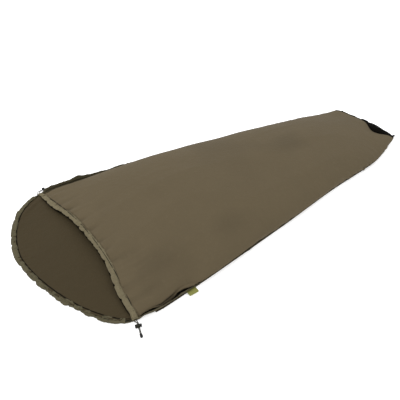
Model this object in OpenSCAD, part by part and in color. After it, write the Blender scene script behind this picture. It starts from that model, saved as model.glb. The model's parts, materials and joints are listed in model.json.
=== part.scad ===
// Bivy sack: a tapered fabric sack with an open hood, drawcord channels and cord locks.
// Millimetres. The sack lies on z = 0 with its foot towards +Y and its hood towards -Y.
// The origin is on the floor at the middle of the sack's box.

/* [Sack outline] */
// Length from the mouth corners to the foot hem
body_l = 1950; // [1500:10:2400]
// How far the hood reaches beyond the mouth corners
hood_d = 228; // [180:1:300]
// Width across the mouth corners
mouth_w = 930; // [760:10:1120]
// How far each side bulges out past the mouth corners, at the shoulders
shoulder_bulge = 13; // [0:1:40]
// Width at the hips
hip_w = 800; // [640:10:960]
// Width at the knees
knee_w = 686; // [560:2:820]
// Width at the ankles
ankle_w = 604; // [470:2:690]
// Width at the heels
heel_w = 524; // [420:2:640]
// Width of the foot end
foot_w = 380; // [310:5:460]
// Distance of the shoulders from the mouth corners
shoulder_y = 120; // [80:5:200]
// Distance of the heels from the foot hem
heel_y = 200; // [150:5:260]
// Sideways place of the hood's furthest point
hood_apex_x = -70; // [-120:5:120]
// How far the right mouth corner lies behind the middle of the mouth, and the left one before it
mouth_skew = 20; // [-40:1:40]

/* [Loft] */
// Height of the top panel at the middle of the mouth
mouth_h = 16; // [14:1:40]
// Height of the top panel over the chest
chest_h = 98; // [70:1:130]
// Height of the top panel over the hips
hip_h = 112; // [80:1:150]
// Height of the top panel over the knees
knee_h = 98; // [70:1:130]
// Height of the top panel where the foot panel starts
foot_h = 86; // [60:1:120]
// How far the foot panel leans in from the foot hem
foot_lean = 80; // [50:5:110]

/* [Fabric and seams] */
// Thickness of a fabric panel
fabric_t = 1.5; // [1:0.1:2.5]
// Width of the folded side and foot seams
seam_w = 22; // [16:1:30]
// Thickness of the folded seams
seam_t = 1.5; // [1:0.1:2.5]
// Width of the seam tape inside the sack
tape_w = 20; // [12:1:28]
// Thickness of the seam tape
tape_t = 0.4; // [0.2:0.1:0.8]
// Gap at the fold between the floor and the hood
fold_gap = 0.6; // [0.4:0.1:1.5]

/* [Drawcord channels] */
// Width of the channel round the hood rim
hood_channel_w = 22; // [16:1:30]
// Width of the channel along the mouth edge
mouth_channel_w = 25; // [18:1:32]
// Height of both channels
channel_h = 7; // [6:0.5:10]
// Wall of both channels
channel_wall = 1.5; // [1:0.1:1.6]
// How far the middle of the mouth edge lies behind its ends
mouth_bow = 50; // [20:5:90]
// Diameter of the drawcord
cord_d = 3; // [2:0.1:3.4]

/* [Cord locks] */
// Width of the barrel along the cord
lock_w = 14; // [12:0.5:18]
// Thickness of the barrel
lock_t = 10; // [9:0.5:14]
// Wall of the barrel
lock_wall = 1.5; // [1:0.1:2]
// Travel of the plunger
press_travel = 3; // [2:0.25:4]
// Length of the fully pressed spring
spring_solid = 2.5; // [2:0.25:4]
// Gap between the two strands in the lock
strand_gap = 0.4; // [0.2:0.1:1]
// How far the lock slides along the strands
slide_travel = 24; // [15:1:40]
// Length of the moulded cord end
cord_end_l = 14; // [10:1:20]

/* [Trim] */
// Width of the side label along the seam
label_w = 40; // [25:1:60]
// Width of the inner label across the sack
care_w = 30; // [20:1:45]
// Length of the inner label along the sack
care_l = 50; // [30:1:80]
// Width of the webbing of the foot loops
loop_w = 10; // [8:1:15]
// How far the foot loops stand out past the foot hem
loop_out = 15; // [10:1:20]

/* [Hidden] */
$fn = 48;

olive = [0.40, 0.36, 0.29];
green = [0.42, 0.41, 0.30];
black = [0.07, 0.07, 0.06];

// Sewn pieces overlap by this much
sewn = 2;
// Clearance of cords and moving parts
clear = 0.4;
// Running fit of the plunger in its barrel
run_fit = 0.1;
cord_r = cord_d / 2;
floor_z = fabric_t;
seam_z = fabric_t + seam_t;
patch_t = 1;
label_t = 1;
care_t = 0.6;
eyelet_l = 3;

// ---- Outline and loft ---------------------------------------------------------------------------

// Value of a smooth curve through stations [position, value] at a position
function slope(s, i) =
    i == 0 ? (s[1][1] - s[0][1]) / (s[1][0] - s[0][0]) :
    i == len(s) - 1 ? (s[i][1] - s[i - 1][1]) / (s[i][0] - s[i - 1][0]) :
    (s[i + 1][1] - s[i - 1][1]) / (s[i + 1][0] - s[i - 1][0]);
function span(s, y, i = 0) = i >= len(s) - 2 || y <= s[i + 1][0] ? i : span(s, y, i + 1);
function hermite(t, a, b, ma, mb) =
    (2 * t ^ 3 - 3 * t ^ 2 + 1) * a + (t ^ 3 - 2 * t ^ 2 + t) * ma
    + (3 * t ^ 2 - 2 * t ^ 3) * b + (t ^ 3 - t ^ 2) * mb;
function through(s, y) =
    let (i = span(s, y), step = s[i + 1][0] - s[i][0], t = (y - s[i][0]) / step)
    hermite(t, s[i][1], s[i + 1][1], slope(s, i) * step, slope(s, i + 1) * step);

// Stations along the body, measured from the mouth corners
hip_y = 0.41 * body_l;
knee_y = 0.615 * body_l;
ankle_y = 0.82 * body_l;
shoulder_half = mouth_w / 2 + shoulder_bulge;
width_stations = [[0, mouth_w / 2], [shoulder_y, shoulder_half], [hip_y, hip_w / 2],
                  [knee_y, knee_w / 2], [ankle_y, ankle_w / 2], [body_l - heel_y, heel_w / 2],
                  [body_l, foot_w / 2]];
loft_stations = [[0, mouth_h], [0.2 * body_l, chest_h], [0.5 * body_l, hip_h],
                 [0.75 * body_l, knee_h], [body_l - foot_lean, foot_h]];
function half_w(y) = through(width_stations, y);
// The sack lies askew at the mouth: points shift along y with x, less and less towards the foot
skew_l = 600;
function lay(p) =
    [p[0], p[1] + 2 * mouth_skew * p[0] / mouth_w * max(0, min(1, 1 - p[1] / skew_l)),
     for (i = [2:1:len(p) - 1]) p[i]];
function laid(points) = [for (p = points) lay(p)];
function loft(y) = through(loft_stations, y);

// Points down one side of the sack between two places, set in from the edge. The stations between
// the ends are the same for every strip, so that strips side by side have matching edges.
edge_step = body_l / 48;
function edge_stations(y0, y1) =
    [y0, for (i = [floor(y0 / edge_step) + 1:ceil(y1 / edge_step) - 1]) i * edge_step, y1];
function edge(y0, y1, inset) = [for (y = edge_stations(y0, y1)) [half_w(y) - inset, y]];
function reversed(p) = [for (i = [len(p) - 1:-1:0]) p[i]];
function flipped(p) = [for (v = p) [-v[0], v[1]]];

// Hood outline: a rounded end with its furthest point at hood_apex_x, t from 0 (right) to 180 (left)
right_round = 1.6;
left_round = 1.7;
function hood_pt(t, inset) =
    let (right = t <= 90, n = right ? right_round : left_round,
         reach = mouth_w / 2 - inset - (right ? 1 : -1) * hood_apex_x,
         c = abs(cos(t)) ^ (2 / n), s = abs(sin(t)) ^ (2 / n))
    lay([hood_apex_x + (right ? 1 : -1) * reach * c, -(hood_d - inset) * s]);
hood_front = max([for (t = [0:180]) -hood_pt(t, 0)[1]]);
total_l = hood_front + body_l + loop_out;
mouth_y = hood_front - total_l / 2;
// The angle at which the hood outline is a given distance in front of the mouth corners
function hood_angle(d, inset, n) = asin((d / (hood_d - inset)) ^ (n / 2));

// Front edge of the mouth, and the height of the sack's top surface
mouth_front = 6;
function mouth_edge(x) = mouth_front + mouth_bow * (1 - (2 * x / mouth_w) ^ 2);
// How boxy the sack's cross-section is: 1 is a half ellipse
section_pow = 0.8;
top_edge_z = fabric_t + seam_t / 2;
function top_half_w(y) = half_w(y) - seam_w / 2;
function top_z(x, y) =
    top_edge_z + loft(y) * max(0, 1 - (x / top_half_w(y)) ^ 2) ^ (section_pow / 2);

// ---- Closed solids from rings and grids ---------------------------------------------------------

function unit(v) = v / norm(v);
function tangent(p, i) = unit(p[min(i + 1, len(p) - 1)] - p[max(i - 1, 0)]);
// A ring of a profile's points [across, up] set square to the path at point i
function ring(p, i, profile) =
    let (t = tangent(p, i), side = unit(cross(t, [0, 0, 1])), up = cross(side, t))
    [for (q = profile) p[i] + q[0] * side + q[1] * up];
function oval(w, h, n) = [for (k = [0:n - 1]) [w / 2 * cos(360 * k / n), h / 2 * sin(360 * k / n)]];
function flat(lists) = [for (l = lists) for (v = l) v];
function walls(rings, n, start, flip) =
    [for (i = [0:rings - 2]) for (j = [0:n - 1])
        let (a = start + i * n + j, b = start + i * n + (j + 1) % n, c = b + n, d = a + n)
        flip ? [a, b, c, d] : [a, d, c, b]];

// A solid bar of the profile along the path
module swept(path, profile) {
    n = len(profile);
    last = (len(path) - 1) * n;
    polyhedron(flat([for (i = [0:len(path) - 1]) ring(path, i, profile)]),
               concat(walls(len(path), n, 0, false), [[for (j = [0:n - 1]) j]],
                      [[for (j = [n - 1:-1:0]) last + j]]));
}

// A hollow tube between two profiles with the same number of points, open at both ends
module hollow(path, outer, inner) {
    n = len(outer);
    rings = len(path);
    far = rings * n;
    last = (rings - 1) * n;
    polyhedron(concat(flat([for (i = [0:rings - 1]) ring(path, i, outer)]),
                      flat([for (i = [0:rings - 1]) ring(path, i, inner)])),
               concat(walls(rings, n, 0, false), walls(rings, n, far, true),
                      [for (j = [0:n - 1]) let (k = (j + 1) % n) [j, k, far + k, far + j]],
                      [for (j = [0:n - 1]) let (k = (j + 1) % n)
                          [last + k, last + j, far + last + j, far + last + k]]));
}

// A closed sheet between an outer and an inner grid of points with the same rows and columns
module shell(outer, inner) {
    rows = len(outer);
    n = len(outer[0]);
    m = rows * n;
    top = (rows - 1) * n;
    polyhedron(concat(flat(outer), flat(inner)),
               concat([for (i = [0:rows - 2]) for (j = [0:n - 2])
                          [i * n + j, i * n + j + n, i * n + j + n + 1, i * n + j + 1]],
                      [for (i = [0:rows - 2]) for (j = [0:n - 2])
                          [m + i * n + j, m + i * n + j + 1, m + i * n + j + n + 1, m + i * n + j + n]],
                      [for (j = [0:n - 2]) [j, j + 1, m + j + 1, m + j]],
                      [for (j = [0:n - 2]) [top + j + 1, top + j, m + top + j, m + top + j + 1]],
                      [for (i = [0:rows - 2]) [i * n + n, i * n, m + i * n, m + i * n + n]],
                      [for (i = [0:rows - 2])
                          [i * n + n - 1, i * n + 2 * n - 1, m + i * n + 2 * n - 1, m + i * n + n - 1]]));
}

// The sack's own frame, with y measured from the mouth corners
module from_mouth() { translate([0, mouth_y, 0]) children(); }

// ---- Panels -------------------------------------------------------------------------------------

module base_panel() {
    side = edge(fold_gap / 2, body_l, 0);
    color(olive) from_mouth() linear_extrude(fabric_t)
        polygon(laid(concat(side, reversed(flipped(side)))));
}

module hood_panel() {
    inset = hood_channel_w - sewn;
    start = hood_angle(fold_gap / 2, inset, right_round);
    end = 180 - hood_angle(fold_gap / 2, inset, left_round);
    steps = 60;
    color(olive) from_mouth() linear_extrude(fabric_t)
        polygon([for (i = [0:steps]) hood_pt(start + (end - start) * i / steps, inset)]);
}

// One arch of the sack's cross-section at a place along the body
arch_steps = 20;
function arch(w, h, y) =
    [for (k = [0:arch_steps]) let (a = 180 * k / arch_steps)
        [-w * cos(a), y, top_edge_z + h * sin(a) ^ section_pow]];

module top_panel() {
    rows = 30;
    y_end = body_l - foot_lean + sewn;
    // The front row follows the bowed mouth edge, and the rows behind it straighten out
    function row_y(x, i) =
        let (front = mouth_edge(x) + mouth_channel_w - 2 * sewn, t = i / rows)
        front + (y_end - front) * t;
    function skin(t, i) =
        [for (k = [0:arch_steps]) let (a = 180 * k / arch_steps, c = -cos(a),
            y = row_y(c * (mouth_w - seam_w) / 2, i))
            lay([c * (top_half_w(y) - t), y, top_edge_z + (loft(y) - t) * sin(a) ^ section_pow])];
    color(olive) from_mouth() shell([for (i = [0:rows]) skin(0, i)], [for (i = [0:rows]) skin(fabric_t, i)]);
}

module foot_panel() {
    rows = 6;
    y_top = body_l - foot_lean;
    y_hem = body_l - seam_w / 2;
    w_top = top_half_w(y_top);
    w_hem = foot_w / 2 - seam_w / 2 - loop_w / 2;
    // The panel bellies out a little between its arch and its hem
    function row(t, i) =
        let (s = i / rows, drop = (loft(y_top) - t) * (1 - s ^ 1.4), y = y_top + (y_hem - y_top) * s)
        [for (v = arch(w_top + (w_hem - w_top) * s - t, drop, y)) [v[0], v[1] - t, v[2]]];
    color(black) from_mouth() difference() {
        shell([for (i = [0:rows - 1]) row(0, i)], [for (i = [0:rows - 1]) row(fabric_t, i)]);
        translate([-foot_w, 0, -1]) cube([2 * foot_w, body_l, 1]);
    }
}

// ---- Seams and tapes ----------------------------------------------------------------------------

// A flat strip along one side (1 right, -1 left) between two places, between two insets
module side_strip(side, y0, y1, inset_out, inset_in, t) {
    linear_extrude(t) polygon([for (v = concat(edge(y0, y1, inset_out), reversed(edge(y0, y1, inset_in))))
        lay([side * v[0], v[1]])]);
}

module side_seam(side) {
    color(green) from_mouth() translate([0, 0, fabric_t])
        side_strip(side, fold_gap / 2, body_l - seam_w, 0, seam_w, seam_t);
}
module side_seam_right() { side_seam(1); }
module side_seam_left() { side_seam(-1); }

module foot_seam() {
    y0 = body_l - seam_w;
    color(black) from_mouth() translate([0, 0, fabric_t]) linear_extrude(seam_t)
        polygon([[half_w(y0), y0], [half_w(body_l), body_l], [-half_w(body_l), body_l], [-half_w(y0), y0]]);
}

module side_tape(side) {
    color([0.30, 0.30, 0.27]) from_mouth() translate([0, 0, fabric_t])
        side_strip(side, mouth_front + mouth_channel_w, body_l - seam_w - tape_w,
                   seam_w + clear, seam_w + clear + tape_w, tape_t);
}
module seam_tape_right() { side_tape(1); }
module seam_tape_left() { side_tape(-1); }

module seam_tape_foot() {
    y0 = body_l - seam_w - tape_w;
    w = half_w(body_l - seam_w) - seam_w - fabric_t;
    color([0.30, 0.30, 0.27]) from_mouth() translate([-w, y0, fabric_t]) cube([2 * w, tape_w, tape_t]);
}

// ---- Channels, drawcords and eyelets ------------------------------------------------------------

channel_z = channel_h / 2;
// The channels stop this far in front of and beside the mouth corners
hood_stop = 18;
mouth_stop = 30;
tunnel_sides = 12;
module channel(path, w) {
    hollow(path, oval(w, channel_h, tunnel_sides),
           oval(w - 2 * channel_wall, channel_h - 2 * channel_wall, tunnel_sides));
}

hood_mid = hood_channel_w / 2;
hood_steps = 44;
hood_start = hood_angle(hood_stop, hood_mid, right_round);
hood_end = 180 - hood_angle(hood_stop, hood_mid, left_round);
hood_path = [for (i = [0:hood_steps])
    let (p = hood_pt(hood_start + (hood_end - hood_start) * i / hood_steps, hood_mid))
    [p[0], p[1], channel_z]];

// The mouth channel's middle lies this far below the top surface carried on over it
mouth_sink = 1;
mouth_steps = 36;
mouth_reach = mouth_w / 2 - mouth_stop;
mouth_path = [for (i = [0:mouth_steps])
    let (x = mouth_reach * (1 - 2 * i / mouth_steps), y = mouth_edge(x) + mouth_channel_w / 2)
    lay([x, y, top_z(x, y) - mouth_sink])];

// A path carried straight on past both of its ends
function carried(p, d) =
    concat([p[0] + d * unit(p[0] - p[1])], p, [p[len(p) - 1] + d * unit(p[len(p) - 1] - p[len(p) - 2])]);

module hood_channel() { color(green) from_mouth() channel(hood_path, hood_channel_w); }
module mouth_channel() { color(green) from_mouth() channel(mouth_path, mouth_channel_w); }
module hood_drawcord() {
    color(black) from_mouth() swept(carried(hood_path, eyelet_l), oval(cord_d, cord_d, 8));
}
module mouth_drawcord() {
    color(black) from_mouth() swept(carried(mouth_path, eyelet_l), oval(cord_d, cord_d, 8));
}

// A ring round the cord, set against the end of a channel
eyelet_r = channel_h / 2 - 0.1;
module eyelet(at, away) {
    dir = unit(away);
    translate(at) rotate([0, acos(dir[2]), atan2(dir[1], dir[0])]) difference() {
        cylinder(h = eyelet_l, r = eyelet_r);
        translate([0, 0, -1]) cylinder(h = eyelet_l + 2, r = cord_r + clear);
    }
}
module eyelets(p) {
    n = len(p) - 1;
    eyelet(p[0], p[0] - p[1]);
    eyelet(p[n], p[n] - p[n - 1]);
}
module hood_eyelets() { color(black) from_mouth() eyelets(hood_path); }
module mouth_eyelets() { color(black) from_mouth() eyelets(mouth_path); }

// A doubled piece of cloth over the end of a side seam, set in a little from the sack's edge
module corner_patch(side) {
    edge_in = 3;
    x0 = mouth_w / 2 - seam_w;
    x1 = mouth_w / 2 - edge_in;
    y0 = 1;
    y1 = mouth_channel_w + edge_in;
    color(green) from_mouth() translate([0, 0, seam_z]) linear_extrude(patch_t)
        polygon([for (v = [[x0, y0], [x1, y0], [x1, y1], [x0, y1]]) lay([side * v[0], v[1]])]);
}
module corner_patch_right() { corner_patch(1); }
module corner_patch_left() { corner_patch(-1); }

// ---- Cord tails and locks -----------------------------------------------------------------------

// Place and heading of each lock, measured outwards from its mouth corner
right_lock = [27, 8];
right_heading = -15;
left_lock = [29, 40];
left_heading = 97;
cord_z = lock_t / 2;
strand = (cord_d + strand_gap) / 2;
// Places along the straight run through the lock, measured from the lock's middle: where the run
// starts, where the cord end starts beyond the lock's travel, and where the strands stop inside it
run_t = -12;
end_gap = 3;
end_hold = 8;
end_t = lock_w / 2 + slide_travel + end_gap;
tail_t = end_t + end_hold;

// Chosen points of each strand from its channel to the lock: [outwards from the corner, y, z]
hood_right_pts = [[-14.5, -14, 3.5], [-10.6, -8, 4.4], [-5.5, -1.5, 5.6], [0, 4, 5.9], [7, 7.5, 5.4]];
mouth_right_pts = [[-26.5, 24, 9.2], [-19, 22, 8.8], [-11, 19.5, 7.8], [-3, 16.5, 6.6], [6, 14, 5.6]];
hood_left_pts = [[-12.7, -14, 3.5], [-9.8, -8, 4.4], [-4.5, -2.5, 5.6], [4, 0, 5.9], [13, 2, 5.4],
                 [21, 7, 5], [26.5, 15, 5]];
mouth_left_pts = [[-26.5, 24, 9.2], [-19, 22, 8.8], [-11, 19.5, 7.8], [-3, 16, 6.6], [5, 13.5, 5.6],
                  [14, 13, 5], [21.5, 17.5, 5]];

// The straight run of a strand through its lock, offset across it
function spin(v, a) = [v[0] * cos(a) - v[1] * sin(a), v[0] * sin(a) + v[1] * cos(a)];
run_steps = 8;
function run(at, heading, across) =
    [for (i = [0:run_steps])
        let (v = spin([run_t + (tail_t - run_t) * i / run_steps, across], heading))
        [at[0] + v[0], at[1] + v[1], cord_z]];
function lock_at(side, out) = lay([side * (mouth_w / 2 + out[0]), out[1]]);
function tail(side, pts, at, heading, across) =
    concat([for (p = pts) lay([side * (mouth_w / 2 + p[0]), p[1], p[2]])],
           run(lock_at(side, at), heading, across));

module strand_tube(path) { color(green) from_mouth() swept(path, oval(cord_d, cord_d, 8)); }
module hood_tail_right() { strand_tube(tail(1, hood_right_pts, right_lock, right_heading, -strand)); }
module mouth_tail_right() { strand_tube(tail(1, mouth_right_pts, right_lock, right_heading, strand)); }
module hood_tail_left() { strand_tube(tail(-1, hood_left_pts, left_lock, left_heading, strand)); }
module mouth_tail_left() { strand_tube(tail(-1, mouth_left_pts, left_lock, left_heading, -strand)); }

// The lock's own frame: x along the strands, y along the plunger towards its button
module at_lock(side, at, heading) {
    from_mouth() translate(concat(lock_at(side, at), [cord_z])) rotate([0, 0, heading]) children();
}
module at_right() { at_lock(1, right_lock, right_heading) children(); }
module at_left() { at_lock(-1, left_lock, left_heading) children(); }

// A bar with round sides along y, w wide and h high
module round_bar(w, h, y0, y1) {
    translate([0, y0, 0]) rotate([-90, 0, 0]) linear_extrude(y1 - y0) {
        square([w - h, h], center = true);
        for (s = [-1, 1]) translate([s * (w - h) / 2, 0]) circle(d = h);
    }
}
// A slot along x for the strands
module slot(y0, y1, l) {
    r = cord_r + clear;
    rotate([0, 90, 0]) translate([0, 0, -l / 2]) {
        for (y = [y0 + r, y1 - r]) translate([0, y, 0]) cylinder(h = l, r = r);
        translate([-r, y0 + r, 0]) cube([2 * r, y1 - y0 - 2 * r, l]);
    }
}

hole_half = strand + cord_r + clear;
plunger_base = 1.5;
plunger_end = -hole_half - plunger_base;
cup_floor = plunger_end - press_travel - spring_solid;
barrel_mouth = hole_half + lock_wall;
button_y = barrel_mouth + press_travel + 0.3;
button_t = 3;
cup_w = lock_w - 2 * lock_wall;
cup_t = lock_t - 2 * lock_wall;

module barrel() {
    color([0.20, 0.20, 0.14]) difference() {
        round_bar(lock_w, lock_t, cup_floor - lock_wall, barrel_mouth);
        round_bar(cup_w, cup_t, cup_floor, barrel_mouth + 1);
        slot(-hole_half, hole_half, lock_w + 2);
    }
}
module plunger() {
    color(black) difference() {
        union() {
            round_bar(cup_w - 2 * run_fit, cup_t - 2 * run_fit, plunger_end, button_y + 1);
            round_bar(lock_w, lock_t, button_y, button_y + button_t);
        }
        slot(-hole_half, hole_half + press_travel, lock_w + 2);
    }
}
module spring() {
    wire_d = 0.6;
    turns = 4;
    per_turn = 14;
    coil_r = cup_t / 2 - 1.2;
    y0 = cup_floor + wire_d / 2 + 0.1;
    y1 = plunger_end - wire_d / 2 - 0.1;
    steps = turns * per_turn;
    path = [for (i = [0:steps]) let (a = 360 * turns * i / steps)
        [coil_r * cos(a), coil_r * sin(a), y0 + (y1 - y0) * i / steps]];
    color("silver") rotate([-90, 0, 0]) swept(path, oval(wire_d, wire_d, 6));
}
module cord_end() {
    tip = 2;
    r = lock_t / 2;
    color(black) translate([end_t, 0, 0]) rotate([0, 90, 0]) difference() {
        rotate_extrude() polygon([[0, 0], [r - 1, 0], [r, 1], [r, cord_end_l - tip],
                                  [r - 0.6, cord_end_l - 0.6], [r - tip, cord_end_l], [0, cord_end_l]]);
        for (s = [-1, 1]) translate([0, s * strand, -1])
            cylinder(h = tail_t - end_t + 1, r = cord_r - 0.05);
    }
}

module lock_barrel_right() { at_right() barrel(); }
module lock_plunger_right() { at_right() plunger(); }
module lock_spring_right() { at_right() spring(); }
module cord_end_right() { at_right() cord_end(); }
module lock_barrel_left() { at_left() barrel(); }
module lock_plunger_left() { at_left() plunger(); }
module lock_spring_left() { at_left() spring(); }
module cord_end_left() { at_left() cord_end(); }

// ---- Labels and loops ---------------------------------------------------------------------------

// A folded loop of tape caught in the right side seam, no wider than the shoulders
module side_label() {
    label_y = 245;
    inner = half_w(label_y) - seam_w / 2 + 2 * clear;
    color([0.62, 0.62, 0.28]) from_mouth() translate([inner, label_y, seam_z])
        cube([shoulder_half - inner, label_w, label_t]);
}

// A label on the floor inside the mouth
module care_label() {
    from_corner = 93;
    label_y = 150;
    color([0.8, 0.8, 0.76]) from_mouth() translate([mouth_w / 2 - from_corner, label_y, fabric_t])
        cube([care_w, care_l, care_t]);
}

// A short webbing loop on the foot seam with its opening along x
module foot_loop_right() {
    loop_l = loop_out + 13;
    loop_h = 9;
    web_t = 1.5;
    color(black) from_mouth()
        translate([foot_w / 2 - loop_w - 3, body_l + loop_out - loop_l, seam_z])
        rotate([90, 0, 90]) linear_extrude(loop_w) difference() {
            translate([loop_h / 2, loop_h / 2]) loop_outline(loop_l - loop_h, loop_h);
            translate([loop_h / 2, loop_h / 2]) loop_outline(loop_l - loop_h, loop_h - 2 * web_t);
        }
}
module loop_outline(l, h) {
    translate([0, -h / 2]) square([l, h]);
    for (x = [0, l]) translate([x, 0]) circle(d = h);
}
module foot_loop_left() { mirror([1, 0, 0]) foot_loop_right(); }

base_panel();
hood_panel();
top_panel();
foot_panel();
side_seam_right();
side_seam_left();
foot_seam();
seam_tape_right();
seam_tape_left();
seam_tape_foot();
hood_channel();
mouth_channel();
hood_drawcord();
mouth_drawcord();
hood_eyelets();
mouth_eyelets();
corner_patch_right();
corner_patch_left();
hood_tail_right();
mouth_tail_right();
hood_tail_left();
mouth_tail_left();
lock_barrel_right();
lock_plunger_right();
lock_spring_right();
cord_end_right();
lock_barrel_left();
lock_plunger_left();
lock_spring_left();
cord_end_left();
side_label();
care_label();
foot_loop_right();
foot_loop_left();
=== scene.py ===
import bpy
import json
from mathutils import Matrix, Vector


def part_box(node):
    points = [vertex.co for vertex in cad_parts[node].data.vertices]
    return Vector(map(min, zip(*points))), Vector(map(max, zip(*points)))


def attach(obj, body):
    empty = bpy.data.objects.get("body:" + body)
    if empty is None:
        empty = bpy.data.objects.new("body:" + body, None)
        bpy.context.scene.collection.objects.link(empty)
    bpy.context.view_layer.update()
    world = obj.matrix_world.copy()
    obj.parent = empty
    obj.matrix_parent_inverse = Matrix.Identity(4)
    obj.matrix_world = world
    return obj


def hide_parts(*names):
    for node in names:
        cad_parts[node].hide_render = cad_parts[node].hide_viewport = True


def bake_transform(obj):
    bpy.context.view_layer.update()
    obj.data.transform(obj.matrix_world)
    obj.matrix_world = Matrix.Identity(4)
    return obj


bl_info = {
    "name": "Bivy Sack",
    "version": (1, 0, 0),
    "blender": (4, 5, 0),
    "location": "View3D > Sidebar > Bivy",
    "description": "Builds the cloth, cords and hardware of a bivy sack round its packed frame",
    "category": "Add Mesh",
}

import json
import math

import bpy
import numpy as np
from mathutils import Matrix, Vector

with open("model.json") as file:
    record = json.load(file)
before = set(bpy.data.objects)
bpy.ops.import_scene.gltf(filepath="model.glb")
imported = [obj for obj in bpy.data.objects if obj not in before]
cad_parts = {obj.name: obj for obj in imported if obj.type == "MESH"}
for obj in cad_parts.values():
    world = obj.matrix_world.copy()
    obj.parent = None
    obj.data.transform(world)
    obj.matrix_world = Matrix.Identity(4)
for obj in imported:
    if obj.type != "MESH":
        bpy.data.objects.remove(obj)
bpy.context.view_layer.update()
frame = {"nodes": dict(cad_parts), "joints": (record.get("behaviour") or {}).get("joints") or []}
NODES = frame["nodes"]
JOINTS = {joint["name"]: joint for joint in frame["joints"]}

# ---- Sizes read from the frame ------------------------------------------------------------------

FOLD = JOINTS["hood_fold"]
MOUTH_Y = FOLD["pos_m"][1]
# The mouth lies askew: points shift along Y with X, less and less over this distance to the foot
SKEW = FOLD["axis"][1] / FOLD["axis"][0]
SKEW_LENGTH = 0.6


def node_points(name):
    """The vertices of a CAD node as an array."""
    return np.array([v.co for v in NODES[name].data.vertices], float)


def _right_outline():
    points = node_points("base_panel")
    points = points[points[:, 0] > 0]
    points = points[np.argsort(points[:, 1])]
    x, d = points[:, 0], points[:, 1] - MOUTH_Y
    straight = (d - SKEW * x) / (1 - SKEW * x / SKEW_LENGTH)
    return np.where(d < SKEW_LENGTH, straight, d), x


OUTLINE_D, OUTLINE_X = _right_outline()
BODY_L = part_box("base_panel")[1].y - MOUTH_Y
FLOOR_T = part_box("base_panel")[1].z
CHANNEL_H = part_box("hood_channel")[1].z
TOP_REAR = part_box("top_panel")[1].y - MOUTH_Y
MOUTH_HALF = float(OUTLINE_X[0])
FOOT_HALF = float(OUTLINE_X[-1])
# The rest repeats the part's source, in metres
HOOD_D = 0.228
HOOD_APEX_X = -0.070
HOOD_BAND = 0.022
MOUTH_BAND = 0.025
CHANNEL_STOP = 0.018
MOUTH_STOP = 0.030
SEAM_W = 0.022
SEAM_STITCH = SEAM_W / 2
# The seam tape's width, and the width of a folded seam's cloth laid out flat
TAPE_W = 0.020
FOLDED_W = 0.042
SIDES = (("right", 1), ("left", -1))
# How full the hood's rim is: 2 is an ellipse, less is more pointed
RIM_POWER = {1: 1.6, -1: 1.7}


def half_width(d):
    """Half the floor's width at a distance behind the mouth corners."""
    return np.interp(d, OUTLINE_D, OUTLINE_X)


def lay(x, d):
    """Where a point of the straight sack lies along Y with the mouth askew."""
    return d + SKEW * x * np.clip(1 - np.asarray(d) / SKEW_LENGTH, 0, 1) + MOUTH_Y


def laid(x, d, z):
    """Points of the straight sack, put in the frame."""
    return np.stack(np.broadcast_arrays(x, lay(x, d), z), -1)


def smooth(t):
    t = np.clip(t, 0, 1)
    return t * t * (3 - 2 * t)


def area_under(at, value):
    """Area under a line through the given points."""
    return float(np.sum(np.diff(at) * (value[1:] + value[:-1]) / 2))


def through(stations, d):
    """A smooth curve through (distance, value) stations."""
    at, value = np.array(stations, float).T
    slope = np.gradient(value, at)
    i = np.clip(np.searchsorted(at, d, side="right") - 1, 0, len(at) - 2)
    step = at[i + 1] - at[i]
    t = np.clip((d - at[i]) / step, 0, 1)
    return ((2 * t ** 3 - 3 * t ** 2 + 1) * value[i] + (t ** 3 - 2 * t ** 2 + t) * slope[i] * step
            + (3 * t ** 2 - 2 * t ** 3) * value[i + 1] + (t ** 3 - t ** 2) * slope[i + 1] * step)


# ---- Seeded noise -------------------------------------------------------------------------------

def _hashed(i, j, seed):
    n = np.sin(i * 127.1 + j * 311.7 + seed * 74.7) * 43758.5453
    return n - np.floor(n)


def noise(x, y, seed=0):
    """Smooth value noise from -1 to 1, one lattice step per unit."""
    x, y = np.broadcast_arrays(np.asarray(x, float), np.asarray(y, float))
    i, j = np.floor(x), np.floor(y)
    u, v = smooth(x - i), smooth(y - j)
    low = _hashed(i, j, seed) * (1 - u) + _hashed(i + 1, j, seed) * u
    high = _hashed(i, j + 1, seed) * (1 - u) + _hashed(i + 1, j + 1, seed) * u
    return 2 * (low * (1 - v) + high * v) - 1


def layered(x, y, seed=0, octaves=3):
    """Noise summed over octaves, each half as strong and twice as fine."""
    total = sum(noise(x * 2 ** k, y * 2 ** k, seed + 7 * k) / 2 ** k for k in range(octaves))
    return total / (2 - 2 ** (1 - octaves))


def creased(x, y, seed=0):
    """Noise with sharp ridges, from 0 to 1, as in crumpled cloth."""
    return (1 - np.abs(noise(x, y, seed))) ** 3


# ---- Properties ---------------------------------------------------------------------------------

def colour_prop(name, about, rgb):
    return bpy.props.FloatVectorProperty(name=name, description=about, default=rgb, subtype="COLOR",
                                         size=3, min=0, max=1)


def length_prop(name, about, metres):
    return bpy.props.FloatProperty(name=name, description=about, default=metres, unit="LENGTH",
                                   precision=4)


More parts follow.
